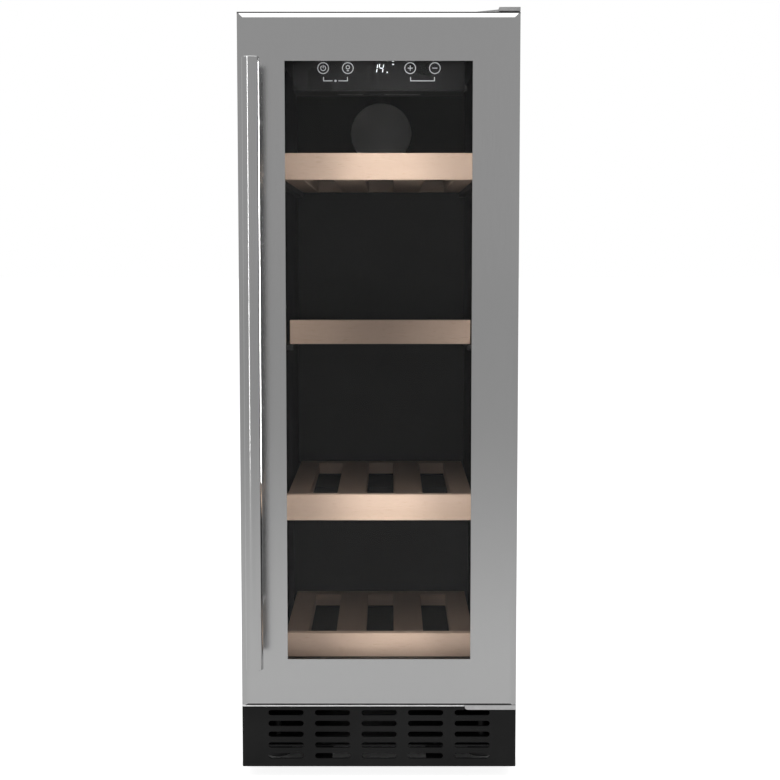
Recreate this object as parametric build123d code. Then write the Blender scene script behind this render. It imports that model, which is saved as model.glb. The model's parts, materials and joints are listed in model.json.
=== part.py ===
# Slim built-in wine cooler: black cabinet, stainless glass door hinged on the right, beech shelves.
# X runs to the right, Y to the back, Z up. The origin is on the floor, under the middle of the whole box.
# Depths written as d are measured back from the front face of the door, in millimetres.
from build123d import *
from math import sqrt
import os

os.makedirs("parts", exist_ok=True)

# ---------------------------------------------------------------- overall
width = 295.0
height = 820.0
body_depth = 573.0          # door face to the rear sheet
running_gap = 0.3           # between pieces that slide or swing past each other
fit_gap = 0.5               # around a piece that is set into a pocket

# ---------------------------------------------------------------- door
door_margin = 51.0          # width of the steel frame above and below the window
side_margin = 49.7
edge_bevel = 6.5            # along the door's top and sides
bottom_bevel = 2.5
top_cap = 1.8               # black strip that closes the top of the steel sheet
skin = 1.2                  # stainless sheet
skin_depth = 22.0           # how far the sheet wraps back around the door's sides
window_return = 4.0         # how far the sheet folds back around the window
pane = 4.0
pane_lap = 12.0             # how far the glass runs behind the frame
spacer_depth = 12.0
spacer_width = 9.0
inner_frame_depth = 14.0
inner_frame_inset = 2.0
inner_frame_lip = 6.0       # how much more open the rear frame is than the window
gasket_depth = 10.0
gasket_foot = 14.0
gasket_bulb = 9.0
gasket_foot_depth = 3.0
gasket_inset = 10.0
inner_frame_bevel = 1.5

# ---------------------------------------------------------------- handle
handle_dia = 18.0
handle_wall = 1.5
handle_standoff = 45.0      # door face to the axis of the tube
handle_length = 630.0
handle_edge = 18.2          # door's left edge to the axis of the tube
handle_cap = 3.0
handle_end_bevel = 0.3
post_dia = 11.0
post_from_end = 60.0
handle_screw_dia = 5.0
handle_screw_head_dia = 9.0
handle_screw_head = 3.0
handle_screw_grip = 16.0    # thread inside the post

# ---------------------------------------------------------------- hinges
hinge_inset = 9.0           # door's right edge to the hinge axis
hinge_depth = 16.0          # door face to the hinge axis
hinge_pin_dia = 6.0
hinge_pin_reach = 12.0
pin_clearance = 0.05
bush_dia = 10.0
bush_flange_dia = 13.0
top_plate = 4.0
top_arm_width = 22.0
top_plate_width = 56.0
top_plate_depth = 96.0
top_arm_length = 12.0       # straight part of the arm, before it widens
top_plate_taper = 24.0
door_top_gap = 1.0
bottom_plate = 5.0
bottom_plate_width = 55.0
bottom_plate_depth = 92.0
bottom_plate_corner = 3.0
door_bottom_gap = 1.0       # door to the lower hinge plate
top_hinge_setback = 7.0     # door face to the front of the upper plate
screw_dia = 5.0
screw_head_dia = 9.0
screw_head = 2.5
hinge_screw_length = 14.0
hinge_screw_side = 14.0     # cabinet's side to the outer screw of a hinge plate
hinge_screw_pitch = 28.0
top_screw_inset = 12.0      # plate's rear edge to its screws
bottom_screw_inset = 10.0
drive_slot_width = 1.1      # cross recess in a screw head
drive_slot_share = 0.56     # of the head's diameter
drive_slot_depth = 0.8

# ---------------------------------------------------------------- plinth
plinth_bottom = 12.0
plinth_height = 66.3
plinth_gap = 2.2            # plinth to the door
plinth_setback = 5.5        # door face to the plinth and the lower hinge plate
trim_height = 1.7           # bright strip along the plinth's upper edge
trim_depth = 8.0
plinth_wall = 3.0
plinth_lip = 2.0
slot_length = 38.0
slot_height = 6.0
slot_pitch_x = 50.2
slot_pitch_z = 11.9
slot_columns = 5
slot_rows = 5
slot_top = 7.0              # plinth's top to the middle of the first row
plinth_tab_width = 22.0
plinth_tab_x = 62.0
plinth_tab_reach = 22.0
plinth_screw_dia = 4.0
plinth_screw_head = 2.0
plinth_screw_inset = 10.0   # tab's rear edge to its screw
plinth_screw_grip = 4.0     # thread above the base plate
plinth_corner = 1.0

# ---------------------------------------------------------------- cabinet
sheet = 1.0
front_frame_depth = 2.0
wall = 35.0                 # outside of the cabinet to the cavity, both sides
ceiling_wall = 32.0
back_wall = 42.0
floor_wall = 28.0
liner_wall = 2.0
base_plate = 2.0
base_height = 20.0          # floor to the underside of the base plate
room_depth = 182.0          # machine room, front to back
room_height = 214.0
ledge_width = 9.5
ledge_height = 6.0
duct_depth = 64.0           # space for the evaporator behind the duct panel
ledge_past_shelf = 4.0
duct_panel = 2.5
duct_panel_gap = 1.0
duct_slot_count = 5         # on each side, in an upper and a lower row
duct_slot_first_x = 54.0
duct_slot_pitch = 10.0
duct_slot_width = 5.0
duct_slot_height = 20.0
duct_slot_above_fan = 45.0
duct_slot_above_step = 2.0
rear_screw_dia = 4.0
rear_screw_head_dia = 8.0
rear_screw_grip = 12.0      # thread behind the rear sheet
rear_screw_hole = 16.0
panel_screw_inset = 16.0
panel_screw_drop = 14.0     # panel's upper or lower edge to its screws
cover_screw_inset = 8.0
corner_post_width = 14.0
corner_post_depth = 18.0
vent_columns = 6
vent_rows = 9
vent_pitch_x = 22.0
vent_pitch_z = 14.0
vent_length = 16.0
vent_height = 5.0
vent_first_x = -70.0
vent_first_lift = 44.0      # base plate to the middle of the lowest row

# ---------------------------------------------------------------- shelves
shelf_side_gap = 4.7
shelf_setback = 17.0        # cabinet front to the face of a shelf rail
rail_height = 28.5
rail_depth = 20.0
rail_round = 3.0
rail_crown = 10.0           # rounding of the rail's upper front edge
slat_thick = 14.0
slat_width = 34.0
edge_slat = 25.5
back_bar_width = 22.0
shelf_back_gap = 9.0
bottom_shelf_lift = 2.0     # cavity floor to the bottom of its ledge
lower_shelf_lift = 1.0      # step to the bottom of its ledge
top_shelf_drop = 139.6      # cavity ceiling to the underside of the top shelf
middle_shelf_share = 0.496  # of the way from the lower shelf to the top one
middle_shelf_setback = 184.0  # cabinet front to the face of the half shelf

# ---------------------------------------------------------------- control box
control_side_gap = 20.5
control_height = 45.0
control_depth = 62.0
control_setback = 12.0      # cabinet front to the fascia
fascia_thick = 3.0
housing_wall = 2.0
mark_thick = 0.4
icon_radius = 6.2
icon_line = 0.9
icon_below_top = 21.0
icon_x = (-60.0, -33.5, 33.5, 60.0)
power_radius = 3.1
power_break = 2.6           # opening at the top of the power sign
power_stem = 3.2
bulb_radius = 2.3
bulb_foot = 2.4
sign_length = 5.4           # arms of the plus and minus signs
bracket_drop = 13.5         # icon's middle to the line that joins two icons
bracket_rise = 3.6
bracket_gap = 3.2           # half the gap around the small sign between two icons
small_sign = 2.6
digit_height = 10.4
digit_width = 5.2
digit_stroke = 1.0
digit_pitch = 6.4
digit_x = -4.1
digit_slant = 8.0           # degrees
point_radius = 0.8
unit_mark_rises = (4.0, 7.4)
unit_mark_width = 2.2
board_thick = 1.6
board_inset = 3.0
board_lift = 8.0
chip_width = 24.0
chip_height = 16.0
chip_thick = 4.0
relay_width = 18.0
relay_height = 14.0
relay_thick = 12.0
parts_lift = 14.0           # control box's underside to the lower edge of chip and relay
parts_spread = 26.0         # between chip and relay
lens_width = 90.0
lens_depth = 14.0
lens_back_gap = 10.0
lens_recess = 0.5           # lens to the control box's underside
lens_thick = 4.0

# ---------------------------------------------------------------- back wall pieces
filter_dia = 80.0
filter_below_ceiling = 62.0
filter_proud = 6.0
filter_neck_dia = 66.0
filter_neck = 12.0
filter_edge = 2.0
filter_rim = 6.0
filter_dish = 1.2
duct_fan_size = 92.0
duct_fan_thick = 25.0
duct_fan_bore = 86.0
duct_fan_below_ceiling = 166.0
fin_thick = 0.8
coil_tube_dia = 8.0
evaporator_width = 150.0
evaporator_height = 120.0
evaporator_depth = 34.0
evaporator_lift = 22.0
evaporator_fins = 13
coil_passes = 4
probe_dia = 9.0
probe_length = 26.0
probe_gap = 1.0             # probe to the cavity's wall and ceiling
probe_setback = 20.0        # probe to the duct panel
probe_foot_inset = 6.0
probe_foot = 6.0

# ---------------------------------------------------------------- machine room pieces
compressor_dia = 118.0
compressor_height = 132.0
compressor_foot = 3.0
compressor_foot_long = 128.0
compressor_foot_wide = 104.0
mount_dia = 16.0
mount_height = 12.0
mount_inset = 10.0
mount_cap = 3.0
can_dome_share = 0.26       # of the can's diameter, as the radius of its top edge
seam_share = 0.52           # of the can's height
seam_proud = 2.5
seam_height = 4.0
room_gap = 12.0
room_fan_size = 110.0
room_fan_thick = 25.0
room_fan_bore = 104.0
fan_hub_dia = 34.0
fan_tip_gap = 1.5
fan_shaft_dia = 3.0
fan_blades = 7
fan_blade = 2.0
fan_blade_pitch = 35.0      # degrees
fan_blade_sink = 3.0        # how far a blade runs into the hub
fan_plate = 3.0             # motor plate and its arms
fan_arm = 4.0
fan_end_gap = 1.5
fan_screw_inset = 5.0
fan_screw_dia = 3.6
room_fan_gap = 8.0          # condenser to its fan
room_fan_lift = 6.0
condenser_thick = 50.0
condenser_height = 120.0
condenser_depth = 120.0
condenser_fins = 11
condenser_lift = 4.0
pipe_dia = 8.0
pipe_bend = 9.0
suction_level = 100.0       # base plate to the pipe where it leaves the compressor
suction_slope = 24.0
thin_pipe_dia = 6.0
thin_pipe_bend = 7.0
discharge_below_top = 40.0
discharge_start = 30.0      # compressor's axis to the start of the pipe, forwards
discharge_side = 40.0
discharge_inset = 8.0       # condenser's front edge to the pipe's lower end
discharge_drop = 14.0
tray_height = 22.0
tray_wall = 2.0
tray_gap = 1.0
tray_stud_dia = 24.0
inlet_width = 48.0
inlet_height = 27.0
inlet_depth = 26.0
inlet_from_side = 62.0
inlet_lift = 172.0
inlet_side_wall = 12.0
inlet_edge_wall = 5.0
inlet_floor = 6.0
inlet_pin_pitch = 7.0
inlet_pin_width = 2.0
inlet_pin_height = 5.0
inlet_pin_setback = 4.0

# ---------------------------------------------------------------- feet
foot_dia = 32.0
foot_pad = 9.0
foot_stud_dia = 8.0
foot_stud_above = 18.0
foot_side_inset = 32.0
foot_front_inset = 42.0
foot_rear_inset = 34.0
foot_bevel = 1.5
foot_nut_radius = 8.0
foot_nut = 5.0

# ---------------------------------------------------------------- worked out from the sizes above
half = width / 2
front_y = (handle_standoff + handle_dia / 2 - body_depth) / 2
cabinet_top = height - top_plate
door_top = cabinet_top - door_top_gap
plinth_top = plinth_bottom + plinth_height
door_bottom = plinth_top + plinth_gap
outer_pane_front = window_return
inner_pane_front = outer_pane_front + pane + spacer_depth
core_depth = inner_pane_front + pane
door_depth = core_depth + inner_frame_depth
window_half = half - side_margin
window_bottom = door_bottom + door_margin
window_top = door_top - door_margin
hinge_x = half - hinge_inset
cabinet_front = door_depth + gasket_depth
shell_front = cabinet_front + front_frame_depth
cabinet_bottom = door_bottom - door_bottom_gap
foam_bottom = cabinet_bottom + sheet
foam_top = cabinet_top - sheet
rear = body_depth - sheet
cavity_half = half - wall
cavity_floor = cabinet_bottom + floor_wall
cavity_top = cabinet_top - ceiling_wall
cavity_back = body_depth - back_wall
base_top = base_height + base_plate
room_top = base_top + room_height
room_front = body_depth - room_depth
step_top = room_top + floor_wall
step_front = room_front - floor_wall
duct_front = cavity_back - duct_depth
shelf_half = cavity_half - shelf_side_gap
full_shelf_front = cabinet_front + shelf_setback
full_shelf_back = duct_front - shelf_back_gap
ledge_step = ledge_height + running_gap
bottom_shelf_z = cavity_floor + bottom_shelf_lift + ledge_step
lower_shelf_z = step_top + lower_shelf_lift + ledge_step
top_shelf_z = cavity_top - top_shelf_drop
middle_shelf_z = lower_shelf_z + middle_shelf_share * (top_shelf_z - lower_shelf_z)
control_half = cavity_half - control_side_gap
fascia_front = cabinet_front + control_setback
fan_z = cavity_top - duct_fan_below_ceiling
filter_z = cavity_top - filter_below_ceiling
room_middle = (room_front + rear) / 2

# name, underside, front and back of each shelf
shelves = (
    ("top", top_shelf_z, full_shelf_front, full_shelf_back),
    ("middle", middle_shelf_z, cabinet_front + middle_shelf_setback, full_shelf_back),
    ("lower", lower_shelf_z, full_shelf_front, full_shelf_back),
    ("bottom", bottom_shelf_z, full_shelf_front, step_front - shelf_back_gap),
)


# ---------------------------------------------------------------- helpers
def block(x0, x1, d0, d1, z0, z1):
    middle = Pos((x0 + x1) / 2, front_y + (d0 + d1) / 2, (z0 + z1) / 2)
    return middle * Box(x1 - x0, d1 - d0, z1 - z0)


def upright(dia, x, d, z0, z1):
    return Pos(x, front_y + d, (z0 + z1) / 2) * Cylinder(dia / 2, z1 - z0)


def along_depth(dia, x, z, d0, d1):
    return Pos(x, front_y + (d0 + d1) / 2, z) * Rot(90, 0, 0) * Cylinder(dia / 2, d1 - d0)


def ring_block(half_w, z0, z1, d0, d1, half_open, open0, open1):
    outer = block(-half_w, half_w, d0, d1, z0, z1)
    return outer - block(-half_open, half_open, d0 - 1, d1 + 1, open0, open1)


def group(solids):
    return Compound(children=list(solids))


def save(name, shape):
    export_step(shape, os.path.join("parts", name + ".step"))


# ---------------------------------------------------------------- door
# the door's outer form, drawn in by inset: the side view's outline meets the plan's, which mitres the corners
def bevelled_slab(inset):
    less = inset * (2 - sqrt(2))
    side, front, back = half - inset, front_y + inset, front_y + skin_depth
    low, high = door_bottom + inset, door_top - inset
    wide, small = edge_bevel - less, bottom_bevel - less
    plan = make_face(Polyline((-side, back), (-side, front + wide), (-side + wide, front),
                              (side - wide, front), (side, front + wide), (side, back), close=True))
    view = make_face(Polyline((back, low), (front + small, low), (front, low + small),
                              (front, high - wide), (front + wide, high), (back, high), close=True))
    across = Pos(-half, 0, 0) * (Plane.YZ * extrude(view, width))
    return across & extrude(plan, height)


def door_cap():
    return bevelled_slab(0) & block(-half, half, 0, skin_depth, door_top - top_cap, door_top)


def handle_post_heights():
    middle = (window_bottom + window_top) / 2
    reach = handle_length / 2 - post_from_end
    return (middle - reach, middle + reach)


def handle_x():
    return -half + handle_edge


def hinge_bores(dia):
    top = upright(dia, hinge_x, hinge_depth, door_top - hinge_pin_reach - fit_gap, door_top + 1)
    bottom = upright(dia, hinge_x, hinge_depth, door_bottom - 1, door_bottom + hinge_pin_reach + fit_gap)
    return [top, bottom]


def door_skin():
    shell = bevelled_slab(0) - bevelled_slab(skin) - door_cap()
    shell += ring_block(window_half + skin, window_bottom - skin, window_top + skin,
                        skin, window_return, window_half, window_bottom, window_top)
    shell -= block(-window_half, window_half, -1, skin_depth, window_bottom, window_top)
    for bore in hinge_bores(bush_dia):
        shell -= bore
    for z in handle_post_heights():
        shell -= along_depth(handle_screw_dia, handle_x(), z, -1, skin + 1)
    return shell


def door_core():
    core = bevelled_slab(skin) + door_cap()
    core += block(-half + skin, half - skin, skin_depth, core_depth, door_bottom + skin, door_top - skin)
    core -= block(-window_half - skin, window_half + skin, 0, window_return,
                  window_bottom - skin, window_top + skin)
    glass_half = window_half + pane_lap + fit_gap
    core -= block(-glass_half, glass_half, outer_pane_front, core_depth + 1,
                  window_bottom - pane_lap - fit_gap, window_top + pane_lap + fit_gap)
    for bore in hinge_bores(bush_dia):
        core -= bore
    head_depth = core_depth - handle_screw_head
    for z in handle_post_heights():
        core -= along_depth(handle_screw_dia, handle_x(), z, 0, core_depth)
        core -= along_depth(handle_screw_head_dia, handle_x(), z, head_depth, core_depth + 1)
    return core


def glass_pane(front):
    reach = window_half + pane_lap
    return block(-reach, reach, front, front + pane, window_bottom - pane_lap, window_top + pane_lap)


def glass_spacer():
    reach = window_half + pane_lap
    low = window_bottom - pane_lap
    high = window_top + pane_lap
    front = outer_pane_front + pane
    return ring_block(reach, low, high, front, front + spacer_depth,
                      reach - spacer_width, low + spacer_width, high - spacer_width)


def door_inner_frame():
    inset = inner_frame_inset
    frame = ring_block(half - inset, door_bottom + inset, door_top - inset, core_depth, door_depth,
                       window_half + inner_frame_lip, window_bottom - inner_frame_lip,
                       window_top + inner_frame_lip)
    return chamfer(frame.faces().sort_by(Axis.Y)[-1].edges(), inner_frame_bevel)


def gasket_ring(inset, band, d0, d1):
    side = half - gasket_inset - inset
    low = door_bottom + gasket_inset + inset
    high = door_top - gasket_inset - inset
    return ring_block(side, low, high, d0, d1, side - band, low + band, high - band)


def door_gasket():
    bulb_inset = (gasket_foot - gasket_bulb) / 2
    foot_back = door_depth + gasket_foot_depth
    return (gasket_ring(0, gasket_foot, door_depth, foot_back)
            + gasket_ring(bulb_inset, gasket_bulb, foot_back, cabinet_front))


def handle_tube():
    middle = (window_bottom + window_top) / 2
    low = middle - handle_length / 2
    high = middle + handle_length / 2
    bar = upright(handle_dia, handle_x(), -handle_standoff, low, high)
    hollow = upright(handle_dia - 2 * handle_wall, handle_x(), -handle_standoff,
                     low + handle_cap, high - handle_cap)
    bar = chamfer(bar.edges().filter_by(GeomType.CIRCLE), handle_end_bevel)
    return bar - hollow


def handle_posts():
    tube = upright(handle_dia, handle_x(), -handle_standoff, 0, height)
    posts = []
    for z in handle_post_heights():
        post = along_depth(post_dia, handle_x(), z, -handle_standoff, 0) - tube
        post = post.solids().sort_by(Axis.Y)[-1]
        posts.append(post - along_depth(handle_screw_dia, handle_x(), z, -handle_screw_grip, 1))
    return group(posts)


def handle_screws():
    screws = []
    for z in handle_post_heights():
        shank = along_depth(handle_screw_dia, handle_x(), z, -handle_screw_grip, core_depth)
        head = along_depth(handle_screw_head_dia, handle_x(), z, core_depth - handle_screw_head, core_depth)
        screws.append(shank + head)
    return group(screws)


def hinge_bushes():
    bore = hinge_pin_dia + 2 * pin_clearance
    low, high = door_bottom, door_top
    reach = hinge_pin_reach + fit_gap
    flange = door_bottom_gap - running_gap
    top = upright(bush_dia, hinge_x, hinge_depth, high - reach, high)
    bottom = upright(bush_dia, hinge_x, hinge_depth, low - flange, low + reach)
    bottom += upright(bush_flange_dia, hinge_x, hinge_depth, low - flange, low)
    cut = upright(bore, hinge_x, hinge_depth, 0, height)
    return group([top - cut, bottom - cut])


# ---------------------------------------------------------------- hinges on the cabinet
def hinge_screw_row(d):
    outer = half - hinge_screw_side
    return [(outer, d), (outer - hinge_screw_pitch, d)]


def top_screw_spots():
    return hinge_screw_row(top_hinge_setback + top_plate_depth - top_screw_inset)


def bottom_screw_spots():
    return hinge_screw_row(plinth_setback + bottom_plate_depth - bottom_screw_inset)


# a cross recess about the middle of a head, made lying flat with its depth along Z
def drive_cross(head_dia):
    slot_length = head_dia * drive_slot_share
    deep = 2 * drive_slot_depth
    return Box(slot_length, drive_slot_width, deep) + Box(drive_slot_width, slot_length, deep)


def top_hinge_plate():
    start = front_y + top_hinge_setback
    widen = start + hinge_pin_dia + top_arm_length
    back = start + top_plate_depth
    outline = Polyline(
        (half, start), (half - top_arm_width, start), (half - top_arm_width, widen),
        (half - top_plate_width, widen + top_plate_taper), (half - top_plate_width, back),
        (half, back), close=True)
    plate = Pos(0, 0, cabinet_top) * extrude(make_face(outline), top_plate)
    plate -= upright(hinge_pin_dia, hinge_x, hinge_depth, 0, height + 1)
    for x, d in top_screw_spots():
        plate -= upright(screw_dia, x, d, 0, height + 1)
        plate -= upright(screw_head_dia, x, d, height - screw_head, height + 1)
    return plate


def bottom_hinge_block():
    back = plinth_setback + bottom_plate_depth
    return block(half - bottom_plate_width, half, plinth_setback, back,
                 cabinet_bottom - bottom_plate, cabinet_bottom)


# room in the plinth for the lower hinge plate, open at the front, the top and the side
def bottom_hinge_pocket():
    back = plinth_setback + bottom_plate_depth
    low = cabinet_bottom - bottom_plate - fit_gap
    return block(half - bottom_plate_width - fit_gap, half + 1, 0, back, low, door_bottom)


def bottom_hinge_plate():
    plate = bottom_hinge_block()
    corner = plate.edges().filter_by(Axis.Y).sort_by(lambda e: e.center().X + e.center().Z)[0]
    plate = fillet(corner, bottom_plate_corner)
    plate -= block(half - sheet, half + 1, shell_front, rear, 0, height)
    plate -= upright(hinge_pin_dia, hinge_x, hinge_depth, 0, height)
    for x, d in bottom_screw_spots():
        plate -= upright(screw_dia, x, d, 0, height)
    return plate


def hinge_pins():
    top = upright(hinge_pin_dia, hinge_x, hinge_depth, door_top - hinge_pin_reach, height)
    bottom = upright(hinge_pin_dia, hinge_x, hinge_depth,
                     cabinet_bottom - bottom_plate, door_bottom + hinge_pin_reach)
    return group([top, bottom])


def hinge_screw_shanks():
    shanks = []
    for x, d in top_screw_spots():
        shanks.append(upright(screw_dia, x, d, cabinet_top - hinge_screw_length, cabinet_top))
    for x, d in bottom_screw_spots():
        shanks.append(upright(screw_dia, x, d, cabinet_bottom, cabinet_bottom + hinge_screw_length))
    return shanks


def hinge_screws():
    screws = []
    for x, d in top_screw_spots():
        shank = upright(screw_dia, x, d, cabinet_top - hinge_screw_length, height - screw_head)
        head = upright(screw_head_dia, x, d, height - screw_head, height)
        screws.append(shank + head - Pos(x, front_y + d, height) * drive_cross(screw_head_dia))
    under = cabinet_bottom - bottom_plate
    for x, d in bottom_screw_spots():
        shank = upright(screw_dia, x, d, under, cabinet_bottom + hinge_screw_length)
        head = upright(screw_head_dia, x, d, under - screw_head, under)
        cross = Pos(x, front_y + d, under - screw_head) * drive_cross(screw_head_dia)
        screws.append(shank + head - cross)
    return group(screws)


# ---------------------------------------------------------------- plinth
def plinth_slots():
    slot = Rot(90, 0, 0) * extrude(SlotOverall(slot_length, slot_height), plinth_wall + 2, both=True)
    first_x = -(slot_columns - 1) / 2 * slot_pitch_x
    slots = []
    for row in range(slot_rows):
        z = plinth_top - slot_top - row * slot_pitch_z
        for column in range(slot_columns):
            slots.append(Pos(first_x + column * slot_pitch_x, front_y + plinth_setback, z) * slot)
    return slots


def plinth_tabs():
    tabs = []
    front = plinth_setback + plinth_wall
    back = shell_front + plinth_tab_reach
    for side in (-1, 1):
        middle = side * plinth_tab_x
        tabs.append(block(middle - plinth_tab_width / 2, middle + plinth_tab_width / 2, front, back,
                          base_height - plinth_wall, base_height))
    return tabs


def plinth_screw_spots():
    return [(side * plinth_tab_x, shell_front + plinth_tab_reach - plinth_screw_inset) for side in (-1, 1)]


def plinth_grille():
    back = shell_front - running_gap
    inside = plinth_setback + plinth_wall
    body = block(-half, half, plinth_setback, back, plinth_bottom, plinth_top)
    body = chamfer(body.faces().sort_by(Axis.Y)[0].edges().filter_by(Axis.Z), plinth_corner)
    body -= block(-half + plinth_wall, half - plinth_wall, inside, back + 1,
                  plinth_bottom - 1, plinth_top - plinth_lip)
    for slot in plinth_slots():
        body -= slot
    for tab in plinth_tabs():
        body += tab
    for x, d in plinth_screw_spots():
        body -= upright(plinth_screw_dia, x, d, 0, base_height + 1)
    return body - bottom_hinge_pocket()


def plinth_trim():
    right = half - bottom_plate_width - fit_gap
    back = plinth_setback + trim_depth
    strip = block(-half, right, plinth_setback, back, plinth_top, plinth_top + trim_height)
    return chamfer(strip.edges().filter_by(Axis.Z).sort_by(Axis.X)[0:1], plinth_corner)


def plinth_screws():
    screws = []
    under = base_height - plinth_wall
    for x, d in plinth_screw_spots():
        shank = upright(plinth_screw_dia, x, d, under, base_top + plinth_screw_grip)
        head = upright(2 * plinth_screw_dia, x, d, under - plinth_screw_head, under)
        screws.append(shank + head)
    return group(screws)


# ---------------------------------------------------------------- cabinet shell
def outer_wrapper():
    outer = block(-half, half, shell_front, rear, base_height, cabinet_top)
    inner = block(-half + sheet, half - sheet, shell_front - 1, rear + 1, base_height - 1, foam_top)
    shell = outer - inner
    for x, d in top_screw_spots():
        shell -= upright(screw_dia, x, d, foam_top - 1, cabinet_top + 1)
    return shell


def back_screw_spots():
    x = half - panel_screw_inset
    heights = (room_top + panel_screw_drop, (room_top + cabinet_top) / 2, cabinet_top - panel_screw_drop)
    return [(side * x, z) for side in (-1, 1) for z in heights]


def cover_screw_spots():
    x = half - cover_screw_inset
    heights = (base_top + panel_screw_drop, room_top - panel_screw_drop)
    return [(side * x, z) for side in (-1, 1) for z in heights]


def rear_head_hole(x, z):
    return along_depth(rear_screw_head_dia, x, z, rear - 1, body_depth + 1)


def back_panel():
    panel = block(-half, half, rear, body_depth, room_top, cabinet_top)
    for x, z in back_screw_spots():
        panel -= rear_head_hole(x, z)
    return panel


# flat heads that fill their holes in the rear sheet
def rear_screws():
    screws = []
    for x, z in back_screw_spots() + cover_screw_spots():
        shank = along_depth(rear_screw_dia, x, z, rear - rear_screw_grip, rear)
        head = along_depth(rear_screw_head_dia, x, z, rear, body_depth)
        cross = Pos(x, front_y + body_depth, z) * Rot(90, 0, 0) * drive_cross(rear_screw_head_dia)
        screws.append(shank + head - cross)
    return group(screws)


def rear_vent_cover():
    cover = block(-half, half, rear, body_depth, base_height, room_top)
    for column in range(vent_columns):
        x = vent_first_x + column * vent_pitch_x
        for row in range(vent_rows):
            z = base_top + vent_first_lift + row * vent_pitch_z
            cover -= block(x - vent_length / 2, x + vent_length / 2, rear - 1, body_depth + 1,
                           z - vent_height / 2, z + vent_height / 2)
    for x, z in cover_screw_spots():
        cover -= rear_head_hole(x, z)
    return cover - inlet_body(0)


def corner_posts():
    posts = []
    for side in (-1, 1):
        inner = side * (half - sheet - corner_post_width)
        outer = side * (half - sheet)
        posts.append(block(min(inner, outer), max(inner, outer), rear - corner_post_depth, rear,
                           base_top, room_top - sheet))
    for x, z in cover_screw_spots():
        hole = along_depth(rear_screw_dia, x, z, rear - rear_screw_hole, rear + 1)
        posts = [post - hole for post in posts]
    return posts


def base_plate_sheet():
    plate = block(-half + sheet, half - sheet, shell_front, rear, base_height, base_top)
    for x, d in plinth_screw_spots():
        plate -= upright(plinth_screw_dia, x, d, 0, base_top + 1)
    for x, d in foot_spots().values():
        plate -= upright(foot_stud_dia + 2 * pin_clearance, x, d, 0, base_top + 1)
    for x, d in mount_spots():
        plate -= upright(mount_dia / 2, x, d, 0, base_top + 1)
    for post in corner_posts():
        plate += post
    return plate


def machine_room_cover():
    side = half - sheet
    cover = block(-side, side, shell_front, room_front, cabinet_bottom, foam_bottom)
    cover += block(-side, side, room_front - sheet, room_front, cabinet_bottom, room_top)
    cover += block(-side, side, room_front - sheet, rear, room_top - sheet, room_top)
    for shank in hinge_screw_shanks():
        cover -= shank
    return cover - suction_bore()


def liner_space(grow):
    past = 0 if grow else 1
    main = block(-cavity_half - grow, cavity_half + grow, shell_front - past,
                 cavity_back + grow, cavity_floor - grow, cavity_top + grow)
    step = block(-half, half, step_front + grow, rear + 1, 0, step_top - grow)
    return main - step


def insulation_foam():
    side = half - sheet
    foam = block(-side, side, shell_front, rear, foam_bottom, foam_top)
    foam -= block(-side - 1, side + 1, room_front - sheet, rear + 1, 0, room_top)
    foam -= liner_space(liner_wall)
    foam -= suction_bore()
    for shank in hinge_screw_shanks():
        foam -= shank
    for x, z in back_screw_spots():
        foam -= along_depth(rear_screw_dia, x, z, rear - rear_screw_hole, rear + 1)
    return foam


def ledges():
    solids = []
    for name, z, front, back in shelves:
        start = shell_front if front == full_shelf_front else front - rail_depth
        for side in (-1, 1):
            inner = side * (cavity_half - ledge_width)
            outer = side * cavity_half
            solids.append(block(min(inner, outer), max(inner, outer), start, back + ledge_past_shelf,
                                z - running_gap - ledge_height, z - running_gap))
    return solids


def inner_liner():
    liner = liner_space(liner_wall) - liner_space(0)
    for ledge in ledges():
        liner += ledge
    return liner - suction_bore()


def front_frame():
    return ring_block(half, cabinet_bottom, cabinet_top, cabinet_front, shell_front,
                      cavity_half, cavity_floor, cavity_top)


# ---------------------------------------------------------------- back wall and cooling
def duct_panel_sheet():
    side = cavity_half - duct_panel_gap
    low = step_top + duct_panel_gap
    panel = block(-side, side, duct_front, duct_front + duct_panel, low, cavity_top - duct_panel_gap)
    panel -= along_depth(filter_neck_dia, 0, filter_z, duct_front - 1, duct_front + duct_panel + 1)
    slot_heights = (fan_z + duct_slot_above_fan, low + duct_slot_above_step)
    for side in (-1, 1):
        for column in range(duct_slot_count):
            x = side * (duct_slot_first_x + column * duct_slot_pitch)
            for z in slot_heights:
                panel -= block(x - duct_slot_width / 2, x + duct_slot_width / 2, duct_front - 1,
                               duct_front + duct_panel + 1, z, z + duct_slot_height)
    return panel


def filter_cover():
    front = duct_front - filter_proud
    face = along_depth(filter_dia, 0, filter_z, front, duct_front)
    face = fillet(face.faces().sort_by(Axis.Y)[0].edges(), filter_edge)
    neck = along_depth(filter_neck_dia, 0, filter_z, duct_front, duct_front + filter_neck)
    dish = along_depth(filter_dia - 2 * filter_rim, 0, filter_z, front - 1, front + filter_dish)
    return face + neck - dish


# fans are made lying flat, axis up, motor plate on top
def blade_ring(tip_dia, thick):
    reach = tip_dia / 2
    start = fan_hub_dia / 2 - fan_blade_sink
    blade_long = reach + 1 - start
    blades = Cylinder(fan_hub_dia / 2, thick)
    for turn in range(fan_blades):
        place = Rot(0, 0, turn * 360 / fan_blades) * Pos(start + blade_long / 2, 0, 0)
        blades += place * Rot(fan_blade_pitch, 0, 0) * Box(blade_long, fan_blade, thick * 1.1)
    return blades & Cylinder(reach, thick)


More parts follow.
